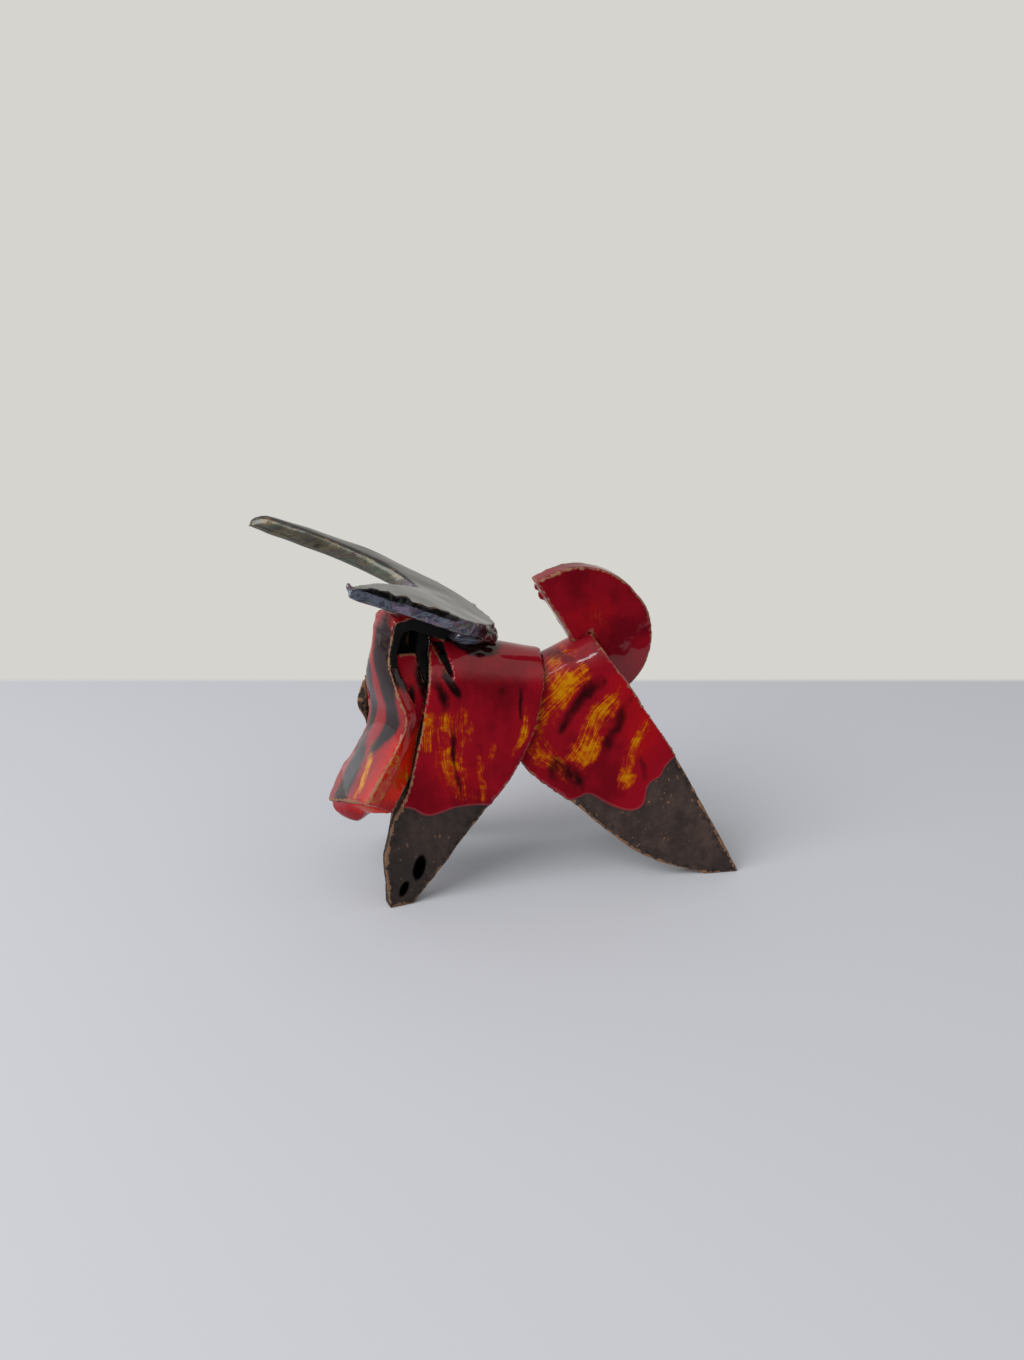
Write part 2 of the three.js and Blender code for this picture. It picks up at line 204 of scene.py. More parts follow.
# Planes only reflections see, in metres: cards with place and tilt, panes with place, size and strength.
CARD_SIZE = 1.3
CARDS = [("black_card", (0.3, -0.33, -0.1), math.pi / 2), ("dark_mat", (0.3, -0.75, 0.002), 0.0)]
PANES = [("bright_pane", (-0.116, -0.5, 0.69), 0.07, 10.0), ("pale_pane", (-1.0, 0.8, 0.4), 1.3, 1.15)]
CARD_BLACK = (0.01, 0.01, 0.01, 1)
PANE_WHITE = (0.9, 0.97, 1, 1)
EVEN_GREY = (0.5, 0.5, 0.5, 1)

# Points on the bull that the window and the panes face, in metres.
WINDOW_AIM = (0, 0, 0.05)
PANE_AIM = (0, 0, 0.09)


def mm_length(name, description, size):
    """A length among the settings, given in mm."""
    return bpy.props.FloatProperty(name=name, description=description, default=size * MM, unit="LENGTH")


def mm_place(name, description, *sizes):
    """A place among the settings, given in mm."""
    place = [size * MM for size in sizes]
    return bpy.props.FloatVectorProperty(name=name, description=description, default=place, unit="LENGTH")


def tint(name, description, *values):
    """A colour among the settings, given by its screen values."""
    return bpy.props.FloatVectorProperty(
        name=name, description=description, default=paint(*values), size=4, subtype="COLOR")


class ClaySettings(bpy.types.PropertyGroup):
    """How the clay slabs are worked."""

    body_facet: mm_length("Body facet", "Mesh spacing on the two body slabs", 0.42)
    head_facet: mm_length("Head facet", "Mesh spacing on the smaller slabs", 0.34)
    rounding: bpy.props.IntProperty(
        name="Rounding", description="Smoothing passes over the cut edges", default=12, min=0)
    rolling: bpy.props.IntProperty(
        name="Rolling", description="Smoothing passes over the faces away from the edges", default=50, min=0)
    wobble: mm_length("Wobble", "Unevenness of a slab rolled by hand", 0.9)
    chipping: mm_length("Chipping", "Depth of the nicks along cut edges", 0.45)
    dark: tint("Dark clay", "Body of the fired clay", 50, 37, 33)
    pale: tint("Pale clay", "Dry patches on the clay", 80, 61, 54)
    tan: tint("Tan edge", "Clay that shows along the arrises", 148, 106, 74)
    black_and_shade: tint("Black and shade", "Black of the clay, and painted shade in hollows and gaps", 13, 11, 11)


class GlazeSettings(bpy.types.PropertyGroup):
    """The fired glazes."""

    coat: mm_length("Coat", "Thickness of the glaze", 0.3)
    bead: mm_length("Bead", "Extra thickness where the glaze stopped running", 0.13)
    deep_red: tint("Deep red", "Red where the glaze is thick", 114, 12, 25)
    red: tint("Red", "Main red of the body", 145, 16, 31)
    bright_red: tint("Bright red", "Red where the glaze is thin", 184, 18, 16)
    muzzle_red: tint("Muzzle red", "Bright red of the cheeks and nose", 216, 36, 12)
    orange: tint("Orange", "Edge of a flame", 174, 60, 12)
    yellow: tint("Yellow", "Heart of a flame", 196, 128, 10)
    black: tint("Black", "Black brush marks", 14, 10, 11)
    lustre: tint("Lustre", "Silvery black of the horns", 34, 34, 36)


class StageSettings(bpy.types.PropertyGroup):
    """Camera, floor and light."""

    camera_place: mm_place("Camera", "Place of the camera", -43.16, -304.73, 160)
    camera_tilt: bpy.props.FloatProperty(
        name="Tilt", description="How far it looks down", default=math.radians(17.6), subtype="ANGLE")
    camera_turn: bpy.props.FloatProperty(
        name="Turn", description="How far it looks to the right", default=math.radians(9), subtype="ANGLE")
    lens: bpy.props.FloatProperty(name="Lens", description="Focal length in mm", default=27.08)
    floor: tint("Floor", "Pale floor", 212, 214, 220)
    wall: tint("Wall", "Pale surroundings", 214, 212, 206)
    table_edge: mm_length("Table edge", "How far behind the bull the floor ends", 196)
    window_place: mm_place("Window", "Place of the soft light", -800, -450, 750)
    window_size: mm_length("Window size", "Width and height of the soft light", 900)
    window_power: bpy.props.FloatProperty(
        name="Window power", description="Strength of the soft light", default=9, unit="POWER")


def activate(piece):
    """Selects one piece alone and makes it the active one."""
    bpy.ops.object.select_all(action="DESELECT")
    piece.select_set(True)
    bpy.context.view_layer.objects.active = piece


def slab_copy(node, name):
    """A merged copy of a solid's mesh under a new name."""
    piece = bpy.data.objects.new(name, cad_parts[node].data.copy())
    bpy.context.scene.collection.objects.link(piece)
    piece.data.materials.clear()
    activate(piece)
    bpy.ops.object.mode_set(mode="EDIT")
    bpy.ops.mesh.select_all(action="SELECT")
    bpy.ops.mesh.remove_doubles(threshold=1e-6)
    bpy.ops.object.mode_set(mode="OBJECT")
    return piece


def finish_with(piece, kind, **settings):
    """Adds one modifier with its settings and applies it."""
    activate(piece)
    modifier = piece.modifiers.new(kind.title(), kind)
    for key, value in settings.items():
        setattr(modifier, key, value)
    bpy.ops.object.modifier_apply(modifier=modifier.name)


def add_drops(piece, drops):
    """Joins hanging drops of glaze to a slab before it is remeshed."""
    for x, y, z, radius in drops:
        place = (x * MM, y * MM, z * MM)
        bpy.ops.mesh.primitive_ico_sphere_add(subdivisions=3, radius=radius * MM, location=place)
        drop = bpy.context.object
        bpy.ops.object.mode_set(mode="EDIT")
        bpy.ops.transform.resize(value=(1, 1, DROP_STRETCH))
        bpy.ops.object.mode_set(mode="OBJECT")
        activate(piece)
        drop.select_set(True)
        bpy.ops.object.join()


def surface(piece):
    """The vertices of a piece in mm, and their normals."""
    count = len(piece.data.vertices)
    places = np.empty(count * 3)
    normals = np.empty(count * 3)
    piece.data.vertices.foreach_get("co", places)
    piece.data.vertex_normals.foreach_get("vector", normals)
    return places.reshape(-1, 3) / MM, normals.reshape(-1, 3)


def axes(piece):
    """The x, y and z of the vertices of a piece, in mm."""
    return surface(piece)[0].T


def rise(low, high, values):
    """A smooth step from 0 at low to 1 at high."""
    share = np.clip((values - low) / (high - low), 0, 1)
    return share * share * (3 - 2 * share)


def cut_edges(piece):
    """Points in mm along the sharp edges of a slab."""
    activate(piece)
    bpy.ops.object.mode_set(mode="EDIT")
    bpy.ops.mesh.select_mode(type="EDGE")
    bpy.ops.mesh.select_all(action="DESELECT")
    bpy.ops.mesh.edges_select_sharp(sharpness=CUT_ANGLE)
    bpy.ops.object.mode_set(mode="OBJECT")
    edges = piece.data.edges
    chosen = np.empty(len(edges), dtype=bool)
    edges.foreach_get("select", chosen)
    ends = np.empty(len(edges) * 2, dtype=np.int32)
    edges.foreach_get("vertices", ends)
    places, _ = surface(piece)
    points = []
    for start, end in places[ends.reshape(-1, 2)[chosen]]:
        steps = 2 + int(np.linalg.norm(end - start) / EDGE_STEP)
        points.append(start + np.linspace(0, 1, steps)[:, None] * (end - start))
    return np.concatenate(points)


def worked(node, name, facet, drops=()):
    """A slab as an even mesh with soft edges, and how far its vertices are from a cut edge."""
    clay = bpy.context.scene.bull_clay
    piece = slab_copy(node, name)
    points = cut_edges(piece)
    add_drops(piece, drops)
    finish_with(piece, "REMESH", mode="VOXEL", voxel_size=facet, use_smooth_shade=True)
    finish_with(piece, "SMOOTH", factor=0.5, iterations=clay.rounding)
    tree = KDTree(len(points))
    for index, point in enumerate(points):
        tree.insert(point, index)
    tree.balance()
    places, _ = surface(piece)
    gap = np.array([tree.find(place)[2] for place in places])
    smooth(piece, "faces", rise(0.9, 2.4, gap), clay.rolling)
    return piece, gap


def weigh(piece, name, weights):
    """A vertex group that holds the weights in even steps."""
    group = piece.vertex_groups.new(name=name)
    levels = np.round(np.clip(weights, 0, 1) * WEIGHT_STEPS).astype(int)
    for level in range(1, WEIGHT_STEPS + 1):
        members = np.flatnonzero(levels == level)
        if len(members):
            group.add(members.tolist(), level / WEIGHT_STEPS, "REPLACE")


def alter(piece, kind, name, weights, **settings):
    """Applies one modifier to the weighted part of a piece."""
    weigh(piece, name, weights)
    finish_with(piece, kind, vertex_group=name, **settings)
    piece.vertex_groups.remove(piece.vertex_groups[name])


def smooth(piece, name, weights, passes):
    """Smooths the weighted part of a piece."""
    alter(piece, "SMOOTH", name, weights, factor=0.5, iterations=passes)


def push(piece, name, weights, distance, direction="NORMAL"):
    """Moves the weighted part of a piece."""
    alter(piece, "DISPLACE", name, weights, strength=distance, direction=direction, mid_level=0.0)


def roughen(piece, name, weights, depth, size, mid_level=0.5, octaves=1, direction="NORMAL"):
    """Moves the weighted part of a piece by a noise whose lumps measure about size."""
    clouds = bpy.data.textures.get(name) or bpy.data.textures.new(name, "CLOUDS")
    clouds.noise_scale = size
    clouds.noise_depth = octaves
    noise = {"texture": clouds, "texture_coords": "LOCAL", "mid_level": mid_level}
    alter(piece, "DISPLACE", name, weights, strength=depth, direction=direction, **noise)


def handle(piece, gap, chipping=1.0):
    """Gives a slab its hand-rolled unevenness and nicks its cut edges, and keeps its feet level."""
    clay = bpy.context.scene.bull_clay
    off_floor = rise(0.5, 4, axes(piece)[2])
    roughen(piece, "wobble", off_floor, clay.wobble, WOBBLE_SIZE)
    arris = (1 - rise(0.5, 1.4, gap)) * off_floor
    roughen(piece, "nicks", arris, clay.chipping * chipping, NICK_SIZE, mid_level=0.55)


def distance_to_line(plane, points):
    """Distance of points to a run of straight steps, their places across and along it, and its length."""
    points = np.array(points, dtype=float)
    nearest = np.full(len(plane), np.inf)
    run = np.zeros((len(plane), 2))
    behind = 0.0
    for start, end in zip(points, points[1:]):
        step = end - start
        length = np.hypot(*step)
        off = plane - start
        along = np.clip(off @ step / length ** 2, 0, 1)
        gap = np.hypot(*(off - along[:, None] * step).T)
        across = (step[0] * off[:, 1] - step[1] * off[:, 0]) / length
        closer = gap < nearest
        nearest[closer] = gap[closer]
        run[closer] = np.stack((across, behind + along * length), axis=1)[closer]
        behind += length
    return nearest, run, behind


def keep(piece, name, values):
    """Stores one number or one vector per vertex for the materials."""
    kind, member = ("FLOAT", "value") if values.ndim == 1 else ("FLOAT_VECTOR", "vector")
    attribute = piece.data.attributes.new(name, kind, "POINT")
    attribute.data.foreach_set(member, values.astype(np.float32).ravel())


def brush(piece, plane, marks):
    """Paints the brush marks of a slab as soft fields, which its material breaks into streaks."""
    fields = {kind: np.zeros(len(plane)) for kind in ("flame", "dark", "warm")}
    x, z = plane.T
    sway = (0.6 * np.sin(z / 4.7 + x / 9) + 0.3 * np.sin(z / 2.1), 0.8 * np.sin(x / 2.9 + z / 7))
    swayed = plane + np.stack(sway, axis=1)
    runs = np.zeros((len(plane), 3))
    strongest = np.zeros(len(plane))
    for index, (kind, strength, start, end, *points) in enumerate(marks):
        gap, run, length = distance_to_line(swayed, points)
        share = run[:, 1] / length
        ends = rise(0, 0.3, share) * (1 - rise(0.65, 1, share))
        field = strength * ends * (1 - rise(0.1, 2.0, gap / (start + (end - start) * share)))
        fields[kind] = np.maximum(fields[kind], field)
        if kind == "flame":
            stronger = field > strongest
            runs[stronger, :2] = run[stronger] * MM
            runs[stronger, 2] = index * 0.1
            strongest = np.maximum(strongest, field)
    for kind, field in fields.items():
        keep(piece, kind + "_mark", field)
    keep(piece, "brush_run", runs)


def glaze(piece, gap, reach, black_and_shade):
    """Lays a coat of glaze and its bead over a slab, and keeps the fields that its material reads."""
    glazes = bpy.context.scene.bull_glaze
    push(piece, "coat", rise(-0.3, 0.5, reach), glazes.coat)
    push(piece, "bead", rise(-0.2, 0.4, reach) * (1 - rise(0.7, 1.8, reach)), glazes.bead)
    keep(piece, "glaze_reach", reach)
    keep(piece, "arris_gap", gap)
    keep(piece, "black_and_shade", black_and_shade)


def both_sides(places):
    """The side view of the body, shifted on the far side so that its marks differ."""
    x, y, z = places.T
    far = rise(-2, 2, y)
    moved = (x + far * (2.6 + 1.5 * np.sin(z / 9)), z + far * (1.8 * np.sin(x / 7) - 1.2))
    return np.stack(moved, axis=1)


def rounded(line):
    """A line with its corners cut off three times."""
    line = np.array(line, dtype=float)
    for _ in range(3):
        early = 0.75 * line[:-1] + 0.25 * line[1:]
        late = 0.25 * line[:-1] + 0.75 * line[1:]
        line = np.concatenate((line[:1], np.stack((early, late), axis=1).reshape(-1, 2), line[-1:]))
    return line


def glaze_above(plane, line):
    """Signed distance from the stop line of the glaze, positive on the glazed side."""
    line = rounded(line)
    gap, _, _ = distance_to_line(plane, line)
    above = plane[:, 1] > np.interp(plane[:, 0], line[:, 0], line[:, 1])
    return np.where(above, gap, -gap)


def outside(places, normals):
    """How far each vertex of a body slab faces away from the hollow under it."""
    away = np.stack((np.zeros(len(places)), places[:, 1], np.maximum(places[:, 2] - BEND_HEIGHT, 0)), axis=1)
    away /= np.maximum(np.linalg.norm(away, axis=1), 1e-6)[:, None]
    return np.sum(away * normals, axis=1)


def face_plane(places):
    """The face seen from straight ahead: distance to the right of its middle, and height."""
    aside = (places[:, :2] - HEAD_PIVOT) @ HEAD_RIGHT
    return np.stack((aside, places[:, 2]), axis=1)


def stand_for(piece, node, material):
    """Puts a finished piece in the place of its solid."""
    piece.data.materials.append(material)
    activate(piece)
    bpy.ops.object.shade_smooth()
    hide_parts(node)
    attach(piece, "root")


def facing_turn(place, target):
    """The turn that points the -Z axis from a place to a target."""
    return (Vector(target) - Vector(place)).to_track_quat("-Z", "Y").to_euler()


# The node groups of the shared effects, by the functions that build them.
EFFECTS = {}


class Wiring:
    """Adds shader nodes to one tree and joins their sockets."""

    def __init__(self, tree):
        self.tree = tree

    def node(self, kind, values, **settings):
        made = self.tree.nodes.new("ShaderNode" + kind)
        for key, value in settings.items():
            setattr(made, key, value)
        for key, value in values.items():
            if isinstance(value, bpy.types.NodeSocket):
                self.tree.links.new(value, made.inputs[key])
            else:
                made.inputs[key].default_value = value
        return made

    def effect(self, build, values):
        """One shared effect on the piece's own coordinates, built at its first use."""
        if build not in EFFECTS:
            EFFECTS[build] = build()
        return self.node("Group", {"Place": self.place(), **values}, node_tree=EFFECTS[build]).outputs

    def math(self, operation, first, second):
        return self.node("Math", {0: first, 1: second}, operation=operation).outputs[0]

    def times(self, first, second):
        return self.math("MULTIPLY", first, second)

    def noise(self, vector, scale, detail=2.0, roughness=0.5, distortion=0.0):
        values = dict(Vector=vector, Scale=scale, Detail=detail, Roughness=roughness, Distortion=distortion)
        return self.node("TexNoise", values).outputs[0]

    def stretch(self, vector, scale):
        return self.node("Mapping", {"Vector": vector, "Scale": scale}).outputs[0]

    def rise(self, value, low, high):
        values = {"Value": value, "From Min": low, "From Max": high}
        return self.node("MapRange", values, interpolation_type="SMOOTHSTEP").outputs[0]

    def sway(self, value, noise, amount):
        """The value moved up and down by a noise."""
        return self.math("ADD", value, self.times(self.math("SUBTRACT", noise, 0.5), amount))

    def without(self, value, share):
        """The value where the share is 0, and nothing where it is 1."""
        return self.times(value, self.math("SUBTRACT", 1.0, share))

    def blend(self, share, first, second):
        values = {0: share, 6: first, 7: second}
        return self.node("Mix", values, data_type="RGBA").outputs[2]

    def mix(self, share, first, second):
        return self.node("Mix", {0: share, 2: first, 3: second}, data_type="FLOAT").outputs[0]

    def ramp(self, value, stops):
        """A run of colours over a value."""
        made = self.node("ValToRGB", {"Fac": value})
        elements = made.color_ramp.elements
        for element, (position, colour) in zip(elements, (stops[0], stops[-1])):
            element.position = position
            element.color = colour
        for position, colour in stops[1:-1]:
            elements.new(position).color = colour
        return made.outputs[0]

    def field(self, name, output="Fac"):
        return self.node("Attribute", {}, attribute_name=name).outputs[output]

    def place(self):
        return self.node("TexCoord", {}).outputs["Object"]

    def bump(self, height, depth):
        values = {"Height": height, "Strength": 0.5, "Distance": depth}
        return self.node("Bump", values).outputs[0]

    def show(self, shader):
        self.node("OutputMaterial", {"Surface": shader.outputs[0]})

    def surface(self, values):
        self.show(self.node("BsdfPrincipled", values))


def new_material(name):
    """An empty material and its wiring."""
    material = bpy.data.materials.new(name)
    material.use_nodes = True
    material.node_tree.nodes.clear()
    return material, Wiring(material.node_tree)


def effect_group(name, inputs, outputs):
    """An empty shader group with a place and other sockets, and the wiring and ends to fill it."""
    tree = bpy.data.node_groups.new(name, "ShaderNodeTree")
    for way, sockets in (("INPUT", [("Place", "Vector")] + inputs), ("OUTPUT", outputs)):
        for label, kind in sockets:
            tree.interface.new_socket(label, in_out=way, socket_type="NodeSocket" + kind)
    start = tree.nodes.new("NodeGroupInput").outputs
    end = tree.nodes.new("NodeGroupOutput").inputs
    return tree, Wiring(tree), start["Place"], start, end


def bare_clay_group():
    """Dark fired clay with dry patches, scuffs and grain."""
    inputs = [("Dark", "Color"), ("Pale", "Color"), ("Grit", "Color")]
    outputs = [("Colour", "Color"), ("Height", "Float")]
    tree, wire, place, start, end = effect_group("Bare clay", inputs, outputs)
    patch = wire.noise(place, 75, 4, 0.6)
    scuff = wire.noise(wire.stretch(place, (1, 1, 0.6)), 330, 5, 0.68)
    grain = wire.noise(place, 1300, 3, 0.6)
    dryness = wire.sway(wire.sway(patch, scuff, 0.7), grain, 0.3)
    body = wire.blend(wire.rise(dryness, 0.36, 0.8), start["Dark"], start["Pale"])
    grit = wire.times(wire.rise(wire.noise(place, 640, 2, 0.5), 0.66, 0.74), 0.7)
    tree.links.new(wire.blend(grit, body, start["Grit"]), end["Colour"])
    height = wire.math("ADD", wire.times(scuff, 0.9), wire.times(grain, 0.35))
    tree.links.new(height, end["Height"])
    return tree


def red_glaze_group():
    """Red glaze, deeper where it pooled and brighter where it ran thin."""
    inputs = [("Warm", "Float"), ("Deep", "Color"), ("Full", "Color"), ("Bright", "Color")]
    outputs = [("Colour", "Color"), ("Height", "Float")]
    tree, wire, place, start, end = effect_group("Red glaze", inputs, outputs)
    pool = wire.noise(place, 42, 3, 0.5, 0.4)
    streak = wire.noise(wire.stretch(place, (520, 520, 90)), 1, 3, 0.6)
    mottle = wire.noise(place, 330, 4, 0.6)
    depth = wire.sway(wire.sway(pool, streak, 0.16), mottle, 0.2)
    lower = wire.blend(wire.rise(depth, 0.34, 0.56), start["Deep"], start["Full"])
    thin = wire.math("ADD", wire.times(wire.rise(depth, 0.56, 0.8), 0.45), start["Warm"])
    thin = wire.rise(wire.sway(thin, mottle, 0.7), 0.1, 1.1)
    tree.links.new(wire.blend(thin, lower, start["Bright"]), end["Colour"])
    ripple = wire.noise(place, 150, 2, 0.5)
    tree.links.new(ripple, end["Height"])
    return tree


def flame_group():
    """Breaks the soft field of a flame into fine bristle streaks and flecks."""
    inputs = [("Field", "Float"), ("Run", "Vector")]
    tree, wire, place, start, end = effect_group("Flame", inputs, [("Heat", "Float")])
    bristle = wire.rise(wire.noise(wire.stretch(start["Run"], (2400, 90, 40)), 1, 4, 0.65), 0.34, 0.66)
    fleck = wire.rise(wire.noise(place, 460, 4, 0.65), 0.34, 0.66)
    cloud = wire.rise(wire.noise(place, 130, 2, 0.5), 0.3, 0.7)
    heat = wire.sway(wire.sway(wire.sway(start["Field"], bristle, 0.5), fleck, 0.42), cloud, 0.6)
    heat = wire.times(heat, wire.rise(start["Field"], 0.03, 0.4))
    tree.links.new(heat, end["Heat"])
    return tree


def dark_cloud_group():
    """Black that was wiped on softly."""
    inputs = [("Field", "Float")]
    tree, wire, place, start, end = effect_group("Dark cloud", inputs, [("Mask", "Float")])
    wisp = wire.noise(wire.stretch(place, (1, 1, 0.4)), 420, 4, 0.6)
    cloud = wire.noise(place, 150, 3, 0.55)
    ragged = wire.sway(wire.sway(start["Field"], wisp, 0.8), cloud, 0.7)
    ragged = wire.times(ragged, wire.rise(start["Field"], 0.02, 0.3))
    tree.links.new(wire.rise(ragged, 0.2, 0.8), end["Mask"])
    return tree


def worn_edge_group():
    """A thin broken line of clay along a cut edge."""
    inputs = [("Gap", "Float"), ("Width", "Float"), ("Crumble", "Float")]
    tree, wire, place, start, end = effect_group("Worn edge", inputs, [("Mask", "Float")])
    breaks = wire.noise(place, 210, 4, 0.65)
    crumbs = wire.rise(wire.noise(place, 620, 3, 0.6), 0.36, 0.64)
    crumbs = wire.sway(wire.times(breaks, 3.2), crumbs, 1.0)
    off = wire.times(wire.math("SUBTRACT", crumbs, 1.6), start["Crumble"])
    ragged = wire.math("ADD", start["Gap"], off)
    over = wire.rise(ragged, start["Width"], wire.math("ADD", start["Width"], 0.25))
    tree.links.new(wire.math("SUBTRACT", 1.0, over), end["Mask"])
    return tree


def glaze_stop_group():
    """Where the glaze covers the clay."""
    inputs = [("Reach", "Float")]
    tree, wire, place, start, end = effect_group("Glaze stop", inputs, [("Cover", "Float")])
    crumble = wire.noise(place, 420, 3, 0.6)
    tree.links.new(wire.rise(wire.sway(start["Reach"], crumble, 0.6), -0.1, 0.1), end["Cover"])
    return tree


def worn_edge(wire, gap, width, crumble):
    """Where the worn line shows."""
    return wire.effect(worn_edge_group, {"Gap": gap, "Width": width, "Crumble": crumble})["Mask"]


def blackened_and_shaded_clay(wire, gap):
    """Bare clay with tan arrises, blackened by a field that is partly the clay's own black and partly
    painted shade in hollows and gaps: its colour and height.
    """
    clay = bpy.context.scene.bull_clay
    bare = wire.effect(bare_clay_group, {"Dark": clay.dark, "Pale": clay.pale, "Grit": clay.tan})
    black_and_shade = wire.field("black_and_shade")
    colour = wire.blend(black_and_shade, bare["Colour"], clay.black_and_shade)
    pits = wire.rise(wire.noise(wire.place(), 520, 3, 0.6), 0.5, 0.62)
    pits = wire.times(wire.without(pits, wire.rise(gap, 1.4, 3.6)), 0.7)
    colour = wire.blend(pits, colour, clay.black_and_shade)
    worn = worn_edge(wire, gap, 0.6, 0.72)
    worn = wire.times(wire.without(worn, wire.times(black_and_shade, 0.75)), 0.8)
    return wire.blend(worn, colour, clay.tan), bare["Height"]


def glazed_slab(name, reds, line_width, shine=0.44):
    """A red glazed slab over dark clay, with brush marks and worn arrises."""
    clay = bpy.context.scene.bull_clay
    glazes = bpy.context.scene.bull_glaze
    material, wire = new_material(name)
    deep, full, bright = reds
    shades = {"Warm": wire.field("warm_mark"), "Deep": deep, "Full": full, "Bright": bright}
    red = wire.effect(red_glaze_group, shades)
    strokes = {"Field": wire.field("flame_mark"), "Run": wire.field("brush_run", "Vector")}
    heat = wire.effect(flame_group, strokes)["Heat"]
    stops = [
        (0.32, paint(158, 28, 14)), (0.58, glazes.orange), (0.82, paint(182, 92, 8)),
        (1.0, glazes.yellow),
    ]
    colour = wire.blend(wire.rise(heat, 0.18, 0.75), red["Colour"], wire.ramp(heat, stops))
    dark = wire.effect(dark_cloud_group, {"Field": wire.field("dark_mark")})["Mask"]
    colour = wire.blend(wire.times(dark, 0.96), colour, glazes.black)
    gap = wire.field("arris_gap")
    worn = worn_edge(wire, gap, line_width, 0.4)
    colour = wire.blend(wire.times(worn, 0.9), colour, clay.tan)
    bare_colour, bare_height = blackened_and_shaded_clay(wire, gap)
    spot = wire.field("foot_spot")
    bare_colour = wire.blend(spot, bare_colour, paint(0, 0, 1))
    cover = wire.effect(glaze_stop_group, {"Reach": wire.field("glaze_reach")})["Cover"]
    gloss = wire.without(cover, wire.times(worn, 0.8))
    height = wire.mix(cover, bare_height, red["Height"])
    wire.surface({
        "Base Color": wire.blend(cover, bare_colour, colour),
        "Metallic": spot,
        "Roughness": wire.mix(gloss, 0.82, 0.06),
        "Specular IOR Level": shine,
        "Normal": wire.bump(height, 0.25 * MM),
    })
    return material


def clay_slab(name):
    """Bare fired clay, tan along its arrises."""
    material, wire = new_material(name)
    colour, height = blackened_and_shaded_clay(wire, wire.field("arris_gap"))
    wire.surface({"Base Color": colour, "Roughness": 0.85, "Normal": wire.bump(height, 0.25 * MM)})
    return material


def horn_material():
    """Silvery black lustre, oily along its rim, with a ragged black groove and red drips at the back."""
    glazes = bpy.context.scene.bull_glaze
    material, wire = new_material("Horn lustre")
    place = wire.place()
    rim = wire.field("rim")
    far = wire.field("far")
    streaks = wire.noise(wire.stretch(place, (60, 420, 60)), 1, 4, 0.6)
    sheen = wire.sway(wire.noise(place, 55, 3, 0.5, 0.6), streaks, 0.5)
    plain = wire.blend(wire.rise(sheen, 0.3, 0.75), glazes.lustre, paint(14, 14, 15))
    oil = wire.noise(wire.stretch(place, (70, 120, 190)), 1, 4, 0.6, 1.2)
    tints = [
        (0.34, paint(58, 63, 76)), (0.42, paint(126, 134, 148)), (0.48, paint(68, 72, 86)),
        (0.54, paint(134, 118, 142)), (0.6, paint(96, 92, 80)), (0.68, paint(108, 140, 144)),
    ]
    grain = wire.noise(wire.stretch(place, (50, 260, 260)), 1, 3, 0.55, 0.5)
    browns = [
        (0.34, paint(52, 49, 42)), (0.43, paint(98, 92, 70)), (0.5, paint(76, 68, 58)),
        (0.57, paint(78, 88, 76)), (0.64, paint(110, 96, 74)),
    ]
    brown = wire.ramp(grain, browns)
    smoke = wire.blend(wire.times(far, 0.92), wire.ramp(oil, tints), brown)
    colour = wire.blend(rim, plain, smoke)
    drip = wire.field("drip")
    reds = {"Deep": paint(26, 8, 10), "Full": paint(64, 12, 14), "Bright": paint(120, 20, 18)}
    red = wire.effect(red_glaze_group, {"Warm": 0.1, **reds})
    colour = wire.blend(drip, colour, red["Colour"])
    ragged = wire.noise(place, 380, 4, 0.65)
    groove = wire.rise(wire.sway(wire.field("groove"), ragged, 0.9), 0.4, 0.6)
    colour = wire.blend(groove, colour, paint(12, 11, 12))
    gap = wire.field("arris_gap")
    worn = wire.times(worn_edge(wire, gap, 0.02, 0.7), 0.75)
    colour = wire.blend(worn, colour, paint(112, 80, 56))
    metal = wire.without(wire.without(wire.without(wire.times(rim, 0.3), worn), drip), groove)
    lumps = wire.noise(place, 190, 3, 0.55)
    height = wire.times(lumps, wire.mix(rim, 0.15, 0.8))
    wire.surface({
        "Base Color": colour,
        "Metallic": metal,
        "Roughness": wire.mix(worn, wire.mix(groove, wire.mix(far, 0.12, 0.17), 0.3), 0.6),
        "Normal": wire.bump(height, 0.3 * MM),
    })
    return material


